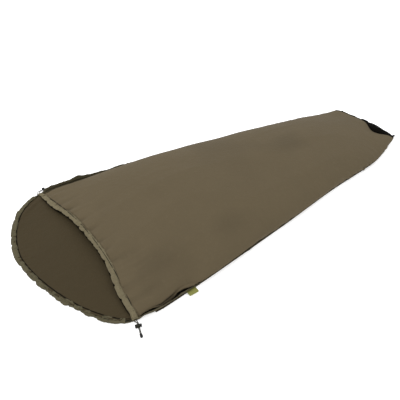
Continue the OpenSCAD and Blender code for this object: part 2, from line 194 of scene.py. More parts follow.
class BivyColours(bpy.types.PropertyGroup):
    """Colours of the sack's cloth and hardware, as linear values"""
    top: colour_prop("Top cloth", "Colour of the breathable upper cloth", (0.0955, 0.0745, 0.0434))
    floor: colour_prop("Floor cloth", "Colour of the coated floor cloth", (0.0433, 0.0323, 0.0158))
    border: colour_prop("Border cloth", "Colour of the folded seams", (0.072, 0.062, 0.036))
    hood: colour_prop("Hood channel", "Colour of the channel round the hood", (0.088, 0.077, 0.044))
    mouth: colour_prop("Mouth channel", "Colour of the channel along the mouth", (0.150, 0.127, 0.076))
    foot: colour_prop("Foot cloth", "Colour of the foot panel", (0.0035, 0.0030, 0.0020))
    cord: colour_prop("Cord", "Colour of the braided cord", (0.017, 0.016, 0.008))
    fleck: colour_prop("Cord fleck", "Colour of the cord's tracer yarn", (0.050, 0.048, 0.024))
    lock: colour_prop("Lock barrel", "Colour of the cord lock's barrel", (0.009, 0.009, 0.005))
    button: colour_prop("Button", "Colour of the lock's button and the cord end", (0.003, 0.003, 0.003))
    label: colour_prop("Side label", "Colour of the folded side label", (0.19, 0.19, 0.055))
    care: colour_prop("Care label", "Colour of the inner label", (0.55, 0.55, 0.50))
    # Painted shade: a near-black cloth laid into the seam gaps, under the mouth channel's edge and along
    # the hood's rim, where shade falls
    lining: colour_prop("Dark lining", "Colour of the cloth's coated side, seen in the seams",
                        (0.006, 0.005, 0.003))
    thread: colour_prop("Thread", "Colour of the sewing thread", (0.062, 0.053, 0.030))


class BivyCloth(bpy.types.PropertyGroup):
    """Sizes of the cloth's make-up and of its creases"""
    thickness: length_prop("Cloth thickness", "Thickness of one layer of cloth", 0.0006)
    weave: length_prop("Weave pitch", "Distance between two yarns of the cloth", 0.0009)
    stitch: length_prop("Stitch pitch", "Distance between two stitches", 0.0040)
    thread: length_prop("Thread thickness", "Thickness of the sewing thread", 0.0007)
    swell: length_prop("Swell", "Height of the broad hollows and swells in the top", 0.0050)
    pucker: length_prop("Pucker", "Height of the puckers beside the seams", 0.0035)
    gather: length_prop("Gather", "Height of the gathers in the channels", 0.0036)


class BivyStage(bpy.types.PropertyGroup):
    """Camera and light"""
    lens: bpy.props.FloatProperty(name="Lens", description="Focal length on a 36 mm sensor",
                                  default=36.0, unit="CAMERA")
    azimuth: bpy.props.FloatProperty(name="Azimuth", description="Turn of the camera round the sack",
                                     default=math.radians(54.9), subtype="ANGLE")
    pitch: bpy.props.FloatProperty(name="Pitch", description="Downward tilt of the camera",
                                   default=math.radians(37.2), subtype="ANGLE")
    place: bpy.props.FloatVectorProperty(name="Camera place", description="Camera from the mouth's middle",
                                         default=(1.294, -0.277, 1.178), subtype="XYZ", unit="LENGTH")
    sky: bpy.props.FloatProperty(name="Sky light", description="Strength of the even white light",
                                 default=0.92, min=0)


def settings():
    return bpy.context.scene.bivy_colours, bpy.context.scene.bivy_cloth, bpy.context.scene.bivy_stage


# ---- Materials ----------------------------------------------------------------------------------

class Socket:
    """A value in a material. Arithmetic on it adds Math nodes."""

    def __init__(self, sheet, out):
        self.sheet = sheet
        self.out = out

    def _math(self, operation, a, b=None):
        return self.sheet.node("Math", {"operation": operation}, [a] if b is None else [a, b])

    def __add__(self, other): return self._math("ADD", self, other)
    def __radd__(self, other): return self._math("ADD", other, self)
    def __sub__(self, other): return self._math("SUBTRACT", self, other)
    def __rsub__(self, other): return self._math("SUBTRACT", other, self)
    def __mul__(self, other): return self._math("MULTIPLY", self, other)
    def sin(self): return self._math("SINE", self)
    def above(self, other): return self._math("GREATER_THAN", self, other)


class Sheet:
    """Builds one material's node tree."""

    def __init__(self, name):
        self.material = bpy.data.materials.new(name)
        self.material.use_nodes = True
        self.tree = self.material.node_tree
        self.tree.nodes.clear()
        self.surface = self.tree.nodes.new("ShaderNodeBsdfPrincipled")
        output = self.tree.nodes.new("ShaderNodeOutputMaterial")
        self.tree.links.new(self.surface.outputs[0], output.inputs["Surface"])

    def node(self, kind, settings=None, inputs=(), output=0):
        """Adds a node of a kind, sets it up, fills its sockets by place or name, and gives an output."""
        made = self.tree.nodes.new("ShaderNode" + kind)
        for key, value in (settings or {}).items():
            if key == "stops":
                self._stops(made.color_ramp, value)
            else:
                setattr(made, key, value)
        pairs = inputs.items() if isinstance(inputs, dict) else enumerate(inputs)
        for key, value in pairs:
            self.fill(made.inputs[key], value)
        return Socket(self, made.outputs[output])

    @staticmethod
    def _stops(ramp, stops):
        while len(ramp.elements) < len(stops):
            ramp.elements.new(0.5)
        for element, (place, colour) in zip(ramp.elements, stops):
            element.position = place
            element.color = (*colour, 1)

    def fill(self, socket, value):
        if isinstance(value, Socket):
            self.tree.links.new(value.out, socket)
        elif isinstance(value, (tuple, list)) and len(value) == 3 and socket.type == "RGBA":
            socket.default_value = (*value, 1)
        else:
            socket.default_value = value

    def tint(self, factor, low, high):
        """A colour between two colours."""
        mix = self.tree.nodes.new("ShaderNodeMix")
        mix.data_type = "RGBA"
        self.fill(mix.inputs["Factor"], factor)
        self.fill(mix.inputs[6], low)
        self.fill(mix.inputs[7], high)
        return Socket(self, mix.outputs[2])

    def place(self, kind="Object"):
        return self.node("TexCoord", output=kind)

    def cloth_place(self):
        """Metres across and along the cloth, from the piece's own cloth coordinates."""
        return self.node("UVMap", {"uv_map": "cloth"})

    def grain(self, place, scale, detail=3.0, rough=0.55):
        return self.node("TexNoise", {}, {"Vector": place, "Scale": scale, "Detail": detail,
                                          "Roughness": rough})

    def split(self, place):
        made = self.tree.nodes.new("ShaderNodeSeparateXYZ")
        self.fill(made.inputs[0], place)
        return [Socket(self, out) for out in made.outputs]

    def stretched(self, place, scale):
        return self.node("VectorMath", {"operation": "MULTIPLY"}, [place, scale])

    def rise(self, value, low, high):
        """0 where a value is below low, and 1 where it is above high."""
        return self.node("ValToRGB", {"stops": [(low, (0, 0, 0)), (high, (1, 1, 1))]}, [value])

    def bump(self, height, distance, strength=1.0, under=None):
        inputs = {"Height": height, "Distance": distance, "Strength": strength}
        if under is not None:
            inputs["Normal"] = under
        return self.node("Bump", {}, inputs)

    def finish(self, **values):
        for key, value in values.items():
            self.fill(self.surface.inputs[key.replace("_", " ")], value)
        return self.material


def shade(rgb, factor):
    return tuple(min(1.0, c * factor) for c in rgb)


def woven(name, rgb, weave, uneven=0.14, roughness=0.85, sheen=0.03, crinkle=0.0012, wear_and_highlight=1.25,
          gloss=0.08, pleats=0.0, valleys=0.0):
    """Plain-weave cloth: crossed yarns, uneven dye, crinkles, a painted highlight on the crinkles' raised
    tops, painted shade in the pleats and painted shade in the crease valleys.
    """
    sheet = Sheet(name)
    place = sheet.cloth_place()
    across, along, _ = sheet.split(place)
    turn = math.tau / weave
    warp = (across * turn).sin()
    weft = (along * turn).sin()
    yarns = warp * weft * 0.5 + 0.5
    blotch = sheet.grain(place, 5.0, 4.0, 0.6)
    slub = sheet.grain(sheet.stretched(place, (260.0, 30.0, 1.0)), 1.0, 2.0, 0.5)
    crumple = sheet.grain(place, 42.0, 5.0, 0.62)
    tone = (blotch - 0.5) * uneven * 2.2 + (slub - 0.5) * uneven * 0.9 + (yarns - 0.5) * 0.10 + 0.5
    colour = sheet.tint(tone, shade(rgb, 1 - uneven * 1.6), shade(rgb, 1 + uneven * 1.6))
    # Painted highlight: lighter where the crinkle noise, which also raises the bump, peaks
    colour = sheet.tint(sheet.rise(crumple, 0.56, 0.78) * 0.35, colour, shade(rgb, wear_and_highlight))
    # Painted shade: dark streaks across the channel where its gathered pleats fall in shadow
    if pleats:
        lanes = sheet.stretched(place, (1.6, 95.0, 1.0))
        pleat_shade_mask = sheet.rise(sheet.grain(lanes, 1.0, 3.0, 0.6), 0.50, 0.66)
        colour = sheet.tint(pleat_shade_mask * pleats, colour, shade(rgb, 0.35))
    # Painted shade: darker in the top cloth's crease valleys, read from a mesh attribute
    if valleys:
        deep = sheet.node("Attribute", {"attribute_name": "valley"}, output="Fac")
        colour = sheet.tint(deep * valleys, colour, shade(rgb, 0.30))
    normal = sheet.bump(crumple, crinkle * 2.2, 0.75)
    normal = sheet.bump(yarns + slub * 0.6, weave * 0.22, 0.6, normal)
    rough = roughness + (blotch - 0.5) * 0.12 - yarns * 0.04
    return sheet.finish(Base_Color=colour, Roughness=rough, Normal=normal, Sheen_Weight=sheen,
                        Sheen_Roughness=0.45, Specular_IOR_Level=gloss)


def braided(name, rgb, fleck, diameter=0.003):
    """Braided cord: two sets of crossed yarn bundles with a lighter tracer."""
    sheet = Sheet(name)
    round_, along, _ = sheet.split(sheet.cloth_place())
    pitch = diameter * 1.15
    left = (round_ * math.tau * 8 + along * (math.tau / pitch)).sin()
    right = (round_ * math.tau * 8 - along * (math.tau / pitch)).sin()
    bundles = (left * right) * 0.5 + 0.5
    tracer = (round_ * math.tau * 2 + along * (math.tau / (pitch * 4))).sin().above(0.72)
    fibre = sheet.grain(sheet.place(), 2600.0, 2.0)
    dark = sheet.tint(bundles * 0.8 + (fibre - 0.5) * 0.4, shade(rgb, 0.55), shade(rgb, 1.25))
    colour = sheet.tint(tracer * 0.7, dark, fleck)
    normal = sheet.bump(bundles + fibre * 0.2, 0.00035, 0.9)
    return sheet.finish(Base_Color=colour, Roughness=0.72 + (fibre - 0.5) * 0.15, Normal=normal,
                        Sheen_Weight=0.03, Specular_IOR_Level=0.12)


def moulded(name, rgb, roughness=0.42, grain=0.00006, scuffs=0.12):
    """Moulded nylon: fine grain, soft scuffs and slightly uneven gloss."""
    sheet = Sheet(name)
    place = sheet.place()
    fine = sheet.grain(place, 2400.0, 2.0)
    broad = sheet.grain(place, 110.0, 4.0)
    scratch = sheet.node("TexVoronoi", {"feature": "DISTANCE_TO_EDGE"},
                         {"Vector": sheet.stretched(place, (420.0, 60.0, 230.0)), "Scale": 1.0})
    wear_and_highlight = 1 - sheet.rise(scratch, 0.0, 0.05)
    colour = sheet.tint(broad * 0.6 + wear_and_highlight * scuffs, shade(rgb, 0.8), shade(rgb, 1.9))
    normal = sheet.bump(fine + wear_and_highlight * -0.4, grain, 0.7)
    return sheet.finish(Base_Color=colour, Roughness=roughness + (broad - 0.5) * 0.2 + wear_and_highlight * 0.1,
                        Normal=normal, Specular_IOR_Level=0.2)


def drawn_wire(name):
    """Spring steel with drawing lines and a little tarnish."""
    sheet = Sheet(name)
    place = sheet.place()
    lines = sheet.grain(sheet.stretched(place, (9000.0, 900.0, 9000.0)), 1.0, 2.0)
    stain = sheet.grain(place, 300.0, 3.0)
    colour = sheet.tint(stain, (0.42, 0.41, 0.39), (0.66, 0.66, 0.65))
    return sheet.finish(Base_Color=colour, Metallic=1.0, Roughness=0.24 + lines * 0.2,
                        Normal=sheet.bump(lines, 0.00002, 0.5))


def sealed_tape(name, rgb):
    """Heat-sealed tape: smooth film with pressed-through weave and small bubbles."""
    sheet = Sheet(name)
    place = sheet.place()
    weave = (sheet.split(place)[0] * 3500.0).sin() * (sheet.split(place)[1] * 3500.0).sin()
    bubbles = sheet.grain(place, 160.0, 4.0)
    colour = sheet.tint(bubbles, shade(rgb, 0.8), shade(rgb, 1.2))
    return sheet.finish(Base_Color=colour, Roughness=0.38 + bubbles * 0.2,
                        Normal=sheet.bump(bubbles + weave * 0.15, 0.0003, 0.6))


def make_materials():
    colours, cloth, _ = settings()

    def cloth_of(colour, name, pitch=1.0, **looks):
        return woven(name, tuple(getattr(colours, colour)), cloth.weave * pitch, **looks)

    return {
        # The top cloth gets painted shade in its crease valleys
        "top": cloth_of("top", "top_cloth", uneven=0.15, valleys=0.75),
        "floor": cloth_of("floor", "floor_cloth", uneven=0.16, roughness=0.7,
                       crinkle=0.0016, sheen=0.0),
        "border": cloth_of("border", "border_cloth", uneven=0.14),
        # The channels get painted shade in their pleats
        "hood": cloth_of("hood", "hood_channel_cloth", uneven=0.18, crinkle=0.0018,
                      pleats=0.40),
        "mouth": cloth_of("mouth", "mouth_channel_cloth", uneven=0.14, crinkle=0.0016,
                       pleats=0.22),
        "foot": cloth_of("foot", "foot_cloth", uneven=0.3, roughness=0.75,
                      crinkle=0.0022, sheen=0.0, gloss=0.03),
        # A near-black cloth that paints shade into gaps and under edges
        "lining": cloth_of("lining", "dark_lining", uneven=0.2, sheen=0.0, gloss=0.03),
        "webbing": cloth_of("foot", "webbing", 1.8, uneven=0.3, crinkle=0.0003),
        "label": cloth_of("label", "label_tape", 0.5, uneven=0.12, crinkle=0.0004),
        "care": cloth_of("care", "care_tape", 0.4, uneven=0.05, roughness=0.5,
                      crinkle=0.0003),
        "thread": braided("thread", tuple(colours.thread), shade(colours.thread, 1.4), 0.0007),
        "cord": braided("braided_cord", tuple(colours.cord), tuple(colours.fleck)),
        "lock": moulded("lock_nylon", tuple(colours.lock)),
        "button": moulded("button_nylon", tuple(colours.button), roughness=0.36),
        "eyelet": moulded("eyelet_black", (0.010, 0.010, 0.010), roughness=0.3, grain=0.00003),
        "spring": drawn_wire("spring_steel"),
        "tape": sealed_tape("seam_tape", (0.075, 0.075, 0.066)),
    }


MATERIALS = {}


def finish_of(name):
    if not MATERIALS:
        MATERIALS.update(make_materials())
    return MATERIALS[name]


def refinish(node, name):
    """Gives a CAD node a finish."""
    NODES[node].data.materials.clear()
    NODES[node].data.materials.append(finish_of(name))


# ---- Mesh building ------------------------------------------------------------------------------

def new_piece(name, points, faces, material, cloth_uv):
    """A mesh object from points and faces, with cloth coordinates in metres for each corner."""
    mesh = bpy.data.meshes.new(name)
    mesh.from_pydata([tuple(p) for p in points], [], faces)
    mesh.update()
    layer = mesh.uv_layers.new(name="cloth")
    corner = np.zeros(len(mesh.loops), np.int32)
    mesh.loops.foreach_get("vertex_index", corner)
    layer.data.foreach_set("uv", np.asarray(cloth_uv, np.float32)[corner].ravel())
    mesh.polygons.foreach_set("use_smooth", [True] * len(mesh.polygons))
    mesh.materials.append(finish_of(material))
    piece = bpy.data.objects.new(name, mesh)
    bpy.context.scene.collection.objects.link(piece)
    return piece


def grid_faces(rows, cols, wrap=False, start=0):
    """Quads over a grid of points, row by row, closed round the columns if it wraps."""
    i, j = np.meshgrid(np.arange(rows - 1), np.arange(cols if wrap else cols - 1), indexing="ij")
    k = (j + 1) % cols
    quads = np.stack([i * cols + j, i * cols + k, (i + 1) * cols + k, (i + 1) * cols + j], -1)
    return (quads.reshape(-1, 4) + start).tolist()


def arc_uv(grid):
    """Metres across and along a grid of points, measured over its surface."""
    across = np.zeros(grid.shape[:2])
    along = np.zeros(grid.shape[:2])
    across[:, 1:] = np.cumsum(np.linalg.norm(np.diff(grid, axis=1), axis=2), axis=1)
    along[1:] = np.cumsum(np.linalg.norm(np.diff(grid, axis=0), axis=2), axis=0)
    across -= across[:, -1:] / 2
    return np.stack([across, along], -1).reshape(-1, 2)


def thicken(piece, thickness, offset=-1.0):
    solid = piece.modifiers.new("thickness", "SOLIDIFY")
    solid.thickness = thickness
    solid.offset = offset
    solid.use_even_offset = False
    return piece


def cloth_sheet(name, grid, material, thickness=None, offset=-1.0):
    """A sheet of cloth over a grid of points, with a real thickness."""
    rows, cols = grid.shape[:2]
    piece = new_piece(name, grid.reshape(-1, 3), grid_faces(rows, cols), material, arc_uv(grid))
    return thicken(piece, thickness or settings()[1].thickness, offset)


def distances(path):
    """Distance along a path to each of its points."""
    return np.concatenate([[0], np.cumsum(np.linalg.norm(np.diff(path, axis=0), axis=1))])


def frames_along(path):
    """Sideways and upward unit directions along a path."""
    tangent = np.gradient(path, axis=0)
    tangent /= np.linalg.norm(tangent, axis=1, keepdims=True)
    side = np.cross(tangent, (0, 0, 1))
    side /= np.linalg.norm(side, axis=1, keepdims=True)
    return side, np.cross(side, tangent)


def tube(name, path, ring, material, capped=True):
    """A closed tube along a path. ring is an array [point, place round, (across, up)]."""
    path = np.asarray(path, float)
    side, up = frames_along(path)
    points = path[:, None] + ring[..., :1] * side[:, None] + ring[..., 1:] * up[:, None]
    rows, cols = points.shape[:2]
    faces = grid_faces(rows, cols, wrap=True)
    if capped:
        faces.append(list(range(cols))[::-1])
        faces.append([(rows - 1) * cols + j for j in range(cols)])
    along = distances(path)
    round_ = np.arange(cols) / cols
    uv = np.stack(np.broadcast_arrays(round_[None, :], along[:, None]), -1).reshape(-1, 2)
    return new_piece(name, points.reshape(-1, 3), faces, material, uv)


def smooth_path(points, step):
    """Points a step apart on a smooth curve through the given points."""
    points = np.asarray(points, float)
    ends = np.vstack([2 * points[0] - points[1], points, 2 * points[-1] - points[-2]])
    pieces = []
    for i in range(len(points) - 1):
        a, b, c, d = ends[i:i + 4]
        count = max(2, int(np.ceil(np.linalg.norm(c - b) / step)))
        t = np.linspace(0, 1, count, endpoint=False)[:, None]
        pieces.append(0.5 * (2 * b + (c - a) * t + (2 * a - 5 * b + 4 * c - d) * t ** 2
                             + (3 * b - a - 3 * c + d) * t ** 3))
    return np.vstack(pieces + [points[-1:]])


def length_of(path):
    return float(np.linalg.norm(np.diff(np.asarray(path), axis=0), axis=1).sum())


def stitch_row(name, path, body, pitch=None):
    """A row of thread stitches along a path, as one piece: each stitch is a short bowed bar."""
    _, cloth, _ = settings()
    pitch = pitch or cloth.stitch
    radius = cloth.thread / 2
    path = np.asarray(path, float)
    along = distances(path)
    starts = np.arange(pitch / 2, along[-1] - pitch, pitch)
    bow = np.array([-0.6, 0.55, 0.9, 0.55, -0.6]) * radius
    sides = 6
    turn = np.arange(sides) / sides * math.tau
    up = np.tile([0.0, 0.0, 1.0], (len(bow), 1))
    points, faces, uv = [], [], []
    for start in starts:
        at = start + np.linspace(0, pitch * 0.72, len(bow))
        line = np.stack([np.interp(at, along, path[:, k]) for k in range(3)], -1)
        heading = line[-1] - line[0]
        side = np.cross(heading / np.linalg.norm(heading), up)
        line = line + up * bow[:, None]
        ring = (line[:, None] + radius * np.cos(turn)[None, :, None] * side[:, None]
                + radius * np.sin(turn)[None, :, None] * up[:, None])
        first = len(points)
        points.extend(ring.reshape(-1, 3))
        faces.extend(grid_faces(len(bow), sides, wrap=True, start=first))
        faces.append([first + j for j in range(sides)][::-1])
        faces.append([first + (len(bow) - 1) * sides + j for j in range(sides)])
        uv.extend([(j / sides, a) for a in at for j in range(sides)])
    piece = new_piece(name, points, faces, "thread", uv)
    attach(piece, body)


def dress(piece, slot, body=None, stands_for=None, **flat_cloth):
    """Hides the CAD part a piece stands for and attaches the piece to the body it rides on. The slot and
    the cloth's cut and hold are not used.
    """
    if stands_for:
        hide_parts(stands_for)
    if body:
        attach(piece, body)


def surface_normals(grid):
    """Upward unit normals of a grid of points."""
    along = np.gradient(grid, axis=0)
    across = np.gradient(grid, axis=1)
    normal = np.cross(across, along)
    normal /= np.linalg.norm(normal, axis=2, keepdims=True)
    return np.where(normal[..., 2:] < 0, -normal, normal)


# ---- The sack's surfaces ------------------------------------------------------------------------

SEAM_Z = 0.0030
LOFT = [(0, 0.016), (0.20 * BODY_L, 0.098), (0.50 * BODY_L, 0.112), (0.75 * BODY_L, 0.098),
        (TOP_REAR, 0.062)]
MOUTH_FRONT = 0.006
MOUTH_BOW = 0.050


def loft(d):
    return through(LOFT, d)


def bump_at(value, centre, width):
    """A soft bump, 1 at its centre."""
    return np.exp(-((value - centre) / width) ** 2)


def ridged(x, y, seed=0):
    """Noise with sharp tops, from -1 to 1, as gathered cloth has."""
    return 1 - 2 * np.abs(noise(x, y, seed))


def mouth_edge(x):
    """How far the mouth's edge lies behind the mouth corners, sagging between them."""
    out = np.clip(np.abs(x) / MOUTH_HALF, 0, 1)
    free = smooth((1 - out) / 0.12)
    sag = 0.013 * bump_at(out, 0.70, 0.20) + 0.004 + 0.0016 * noise(np.asarray(x) * 14, 0.5, 5)
    return MOUTH_FRONT + MOUTH_BOW * (1 - out ** 2) - sag * free


def seam_line(d):
    """Half the width between the two side seams' stitching."""
    return half_width(d) - SEAM_STITCH


def tuck(side, d):
    """Where the top cloth draws in from its side seam behind a mouth corner, from 0 to 1."""
    right = bump_at(d, 0.080, 0.034) + 0.35 * bump_at(d, 0.145, 0.040) + bump_at(d, 0.225, 0.045)
    right = np.minimum(right, 1) * smooth((0.30 - d) / 0.05)
    left = smooth((d - 0.018) / 0.03) * smooth((0.62 - d) / 0.34)
    return np.where(side > 0, right, left)


def top_height(x, d):
    """Height of the smooth top cloth near the mouth."""
    share = np.clip(1 - (x / seam_line(d)) ** 2, 0, 1)
    return SEAM_Z + loft(d) * share ** 0.4


def overhang(side, d):
    """How far the top cloth bulges out over its side seam."""
    front = np.where(side > 0, 0.007, 0.002) * bump_at(d, 0.09, 0.07)
    body = np.where(side > 0, 0.017 * smooth((d - 0.255) / 0.07), 0.013 * smooth((d - 0.52) / 0.3))
    return (0.006 + front + body) * (1 + 0.22 * noise(d * 7, side * 3.3, 13)) * smooth((d - 0.02) / 0.05)


def top_creases(x, d, side_gap, front_gap, rear_gap):
    """How far the top cloth stands off its smooth shape, and how strongly painted shade darkens each point
    of its crease valleys.
    """
    _, cloth, _ = settings()
    side = np.sign(x)
    edge = smooth(side_gap / 0.05) * smooth(rear_gap / 0.03)
    swell = cloth.swell * layered(x * 3.2, d * 2.4, 3, 3) * smooth(side_gap / 0.12)
    swell = swell * smooth(front_gap / 0.10)
    near_seam = np.exp(-side_gap / 0.045) * smooth(side_gap / 0.012)
    heel = 1 + 1.5 * bump_at(d, 1.66, 0.20) + 0.6 * bump_at(d, 0.30, 0.12)
    pucker = cloth.pucker * near_seam * heel * (ridged(d * 17 + side * 9, side * 3.0 + side_gap * 5, 11)
                                                + 0.7 * noise(d * 48 + side * 5, side_gap * 12, 12))
    behind = np.exp(-front_gap / 0.042)
    tucks = 0.0056 * behind * smooth(front_gap / 0.012) * (ridged(x * 34, front_gap * 8, 21)
                                                           + 0.6 * noise(x * 70, 1.5, 22))
    ridge = np.where(side > 0, 0.011, 0) * bump_at(side_gap, 0.030 + 0.10 * (d - 0.20), 0.010)
    ridge = ridge * bump_at(d, 0.27, 0.075)
    hollow = np.where(side > 0, 0.010, 0.004) * bump_at(side_gap, 0.045, 0.028) * bump_at(d, 0.15, 0.045)
    heel_folds = np.where(side > 0, 0.0085, 0.0030) * np.exp(-side_gap / 0.055) * bump_at(d, 1.55, 0.27)
    heel_folds = -heel_folds * ridged(d * 32 + side_gap * 14, side_gap * 5, 47) * smooth(side_gap / 0.012)
    fine = 0.0014 * (creased(x * 8 + 2.0, d * 4, 31) - 0.3) * edge
    length_fold = 0.0045 * edge * (creased(x * 5 + 0.6 * noise(d * 1.5, 0.2, 42), d * 0.9, 41) - 0.25)
    dive = 0.0050 * (1 - smooth(front_gap / 0.010))
    # How deep a point lies in a crease, which sets the painted shade in the valleys
    depth = -(0.55 * pucker + 0.75 * tucks + heel_folds + 0.5 * swell) + hollow - 0.5 * ridge
    valley = np.clip((depth - 0.0006) / 0.0050, 0, 1)
    return swell + pucker + tucks + fine + length_fold + ridge - hollow + heel_folds - dive, valley


def foot_dip(across):
    """Where the top cloth's rear edge sags, from 0 to 1, near the right foot corner."""
    return bump_at(across, 0.56, 0.30)


def top_grid(rows=400, cols=160):
    """The top cloth from the mouth channel to the foot panel, edge to edge, with the painted shade for its
    crease valleys.
    """
    angle = np.linspace(0, math.pi, cols)
    across = -np.cos(angle)
    side = np.sign(across)
    front = mouth_edge(across * (MOUTH_HALF - SEAM_STITCH)) + MOUTH_BAND - 0.006
    share = np.linspace(0, 1, rows)[:, None] ** 1.15
    rear = TOP_REAR - 0.072 * foot_dip(across) + 0.014 * smooth((-across - 0.3) / 0.5)
    d = front + (rear - front) * share
    half = seam_line(d) - np.where(side > 0, 0.016, 0.010) * tuck(side, d)
    from_seam = np.minimum(angle, math.pi - angle)
    lean = from_seam / 0.25 * np.exp(1 - from_seam / 0.25)
    x = across * half + side * overhang(side, d) * lean
    boxy = 0.8 - 0.50 * smooth((d - 1.62 - 0.06 * (across < 0)) / 0.24)
    sagged = 1 - 0.16 * foot_dip(across) * smooth((d - 1.70) / 0.14)
    far_flat = smooth((d - 1.10) / 0.30) * smooth((TOP_REAR - d) / 0.13) * (1 - across) / 2
    sagged = sagged * (1 - 0.05 * far_flat)
    z = SEAM_Z + loft(d) * np.sin(angle) ** boxy * sagged
    side_gap = np.broadcast_to(from_seam * half * 0.9 + 0 * d, d.shape)
    stand, valley = top_creases(across * half, d, side_gap, d - front, rear - d)
    smooth_top = laid(x, d, z)
    return smooth_top + surface_normals(smooth_top) * stand[..., None], valley


def hood_point(t, inset):
    """A point on the hood's rounded rim, t from 0 at the right corner to 1 at the left."""
    angle = np.asarray(t, float) * math.pi
    right = angle <= math.pi / 2
    power = np.where(right, 2 / RIM_POWER[1], 2 / RIM_POWER[-1])
    side = np.where(right, 1, -1)
    x = HOOD_APEX_X + side * (MOUTH_HALF - inset - side * HOOD_APEX_X) * np.abs(np.cos(angle)) ** power
    return x, -(HOOD_D - inset) * np.abs(np.sin(angle)) ** power


def hood_turn(d, side):
    """Where along the rim its middle line lies a distance in front of the mouth corners."""
    angle = math.asin((d / (HOOD_D - HOOD_BAND / 2)) ** (RIM_POWER[side] / 2))
    return angle / math.pi if side > 0 else 1 - angle / math.pi


def floor_relief(x, d):
    """Height of the floor cloth's own creases over the ground."""
    broad = 0.5 + 0.5 * layered(x * 5, d * 5, 51, 3)
    fine = creased(x * 12 + 1, d * 9, 55) + creased(x * 7, d * 16 + 3, 56)
    far_fold = bump_at(x + 0.375 + 0.8 * (d + 0.07), 0, 0.012) * bump_at(d, -0.06, 0.06)
    return 0.0030 * broad + 0.0016 * fine + 0.008 * far_fold


# ---- Camera, light and ground -------------------------------------------------------------------

# Just under the sack, so that the two never share a plane
GROUND_Z = -0.0002
PALE = (0.93, 0.93, 0.93)


class BIVY_OT_stage(bpy.types.Operator):
    """Make the camera, the pale ground and the soft light"""
    bl_idname = "bivy.stage"
    bl_label = "Stage"

    def execute(self, context):
        _, _, stage = settings()
        camera = bpy.data.objects.new("camera", bpy.data.cameras.new("camera"))
        context.scene.collection.objects.link(camera)
        camera.data.sensor_width = 36.0
        camera.data.lens = stage.lens
        camera.data.clip_start = 0.02
        camera.data.clip_end = 50.0
        camera.location = Vector(stage.place) + Vector((0, MOUTH_Y, 0))
        a, e = stage.azimuth, stage.pitch
        back = Vector((math.sin(a) * math.cos(e), -math.cos(a) * math.cos(e), math.sin(e)))
        camera.rotation_mode = "QUATERNION"
        camera.rotation_quaternion = (-back).to_track_quat("-Z", "Y")
        context.scene.camera = camera
        self.ground(context)
        self.lights(context, stage)
        context.scene.view_settings.view_transform = "Standard"
        return {"FINISHED"}

    def ground(self, context):
        mesh = bpy.data.meshes.new("ground")
        reach = 14.0
        mesh.from_pydata([(-reach, -reach, 0), (reach, -reach, 0), (reach, reach, 0), (-reach, reach, 0)],
                         [], [(0, 1, 2, 3)])
        ground = bpy.data.objects.new("ground", mesh)
        context.scene.collection.objects.link(ground)
        ground.location.z = GROUND_Z
        sheet = Sheet("ground")
        mesh.materials.append(sheet.finish(Base_Color=PALE, Roughness=0.9,
                                           Specular_IOR_Level=0.1, Emission_Color=(1, 1, 1),
                                           Emission_Strength=0.42))

    def lights(self, context, stage):
        world = bpy.data.worlds.new("studio")
        context.scene.world = world
        world.use_nodes = True
        background = world.node_tree.nodes["Background"]
        background.inputs["Color"].default_value = (1, 1, 1, 1)
        background.inputs["Strength"].default_value = stage.sky
        for name, place, watts, size in (("key", (-1.6, -2.2, 3.2), 70, 2.4),
                                         ("fill", (2.8, 0.6, 3.0), 25, 3.0),
                                         ("rear", (-1.0, 3.0, 3.0), 30, 3.0)):
            lamp = bpy.data.lights.new(name, "AREA")
            lamp.energy = watts
            lamp.size = size
            light = bpy.data.objects.new(name, lamp)
            context.scene.collection.objects.link(light)
            light.location = place
            aim = Vector((0, -0.2, 0)) - Vector(place)
            light.rotation_mode = "QUATERNION"
            light.rotation_quaternion = aim.to_track_quat("-Z", "Y")


# ---- Cord tails ---------------------------------------------------------------------------------

CORD_D = 0.003
STRAND = 0.0017
RUN_START = -0.012
RIGHT_LOCK, RIGHT_HEADING = (0.027, 0.008), -15
LEFT_LOCK, LEFT_HEADING = (0.029, 0.040), 97
CORD_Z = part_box("cord_end_right")[1].z / 2
RUN_END = 0.042
# Route of each strand from its channel to its lock, outwards from the mouth corner, in millimetres
ROUTES = {
    "hood_tail_right": [(-14.5, -14, 3.5), (-10.6, -8, 4.4), (-5.5, -1.5, 5.6), (0, 4, 5.9),
                        (7, 7.5, 5.4)],
    "mouth_tail_right": [(-26.5, 24, 9.2), (-19, 22, 8.8), (-11, 19.5, 7.8), (-3, 16.5, 6.6),
                         (6, 14, 5.6)],
    "hood_tail_left": [(-12.7, -14, 3.5), (-9.8, -8, 4.4), (-4.5, -2.5, 5.6), (4, 0, 5.9), (13, 2, 5.4),
                       (21, 7, 5), (26.5, 15, 5)],
    "mouth_tail_left": [(-26.5, 24, 9.2), (-19, 22, 8.8), (-11, 19.5, 7.8), (-3, 16, 6.6),
                        (5, 13.5, 5.6), (14, 13, 5), (21.5, 17.5, 5)],
}


def strand_route(name):
    """The chosen points of a strand and its straight run through the lock, in the frame."""
    right = name.endswith("right")
    side = 1 if right else -1
    lock, heading = (RIGHT_LOCK, RIGHT_HEADING) if right else (LEFT_LOCK, LEFT_HEADING)
    across = STRAND * side * (1 if name.startswith("mouth") else -1)
    x, d, z = np.array(ROUTES[name]).T / 1000
    points = list(laid(side * (MOUTH_HALF + x), d, z))
    lock_x = side * (MOUTH_HALF + lock[0])
    lock_y = lay(lock_x, lock[1])
    c, s = math.cos(math.radians(heading)), math.sin(math.radians(heading))
    for t in np.linspace(RUN_START, RUN_END, 9):
        points.append((lock_x + t * c - across * s, lock_y + t * s + across * c, CORD_Z))
    return smooth_path(points, 0.0012)


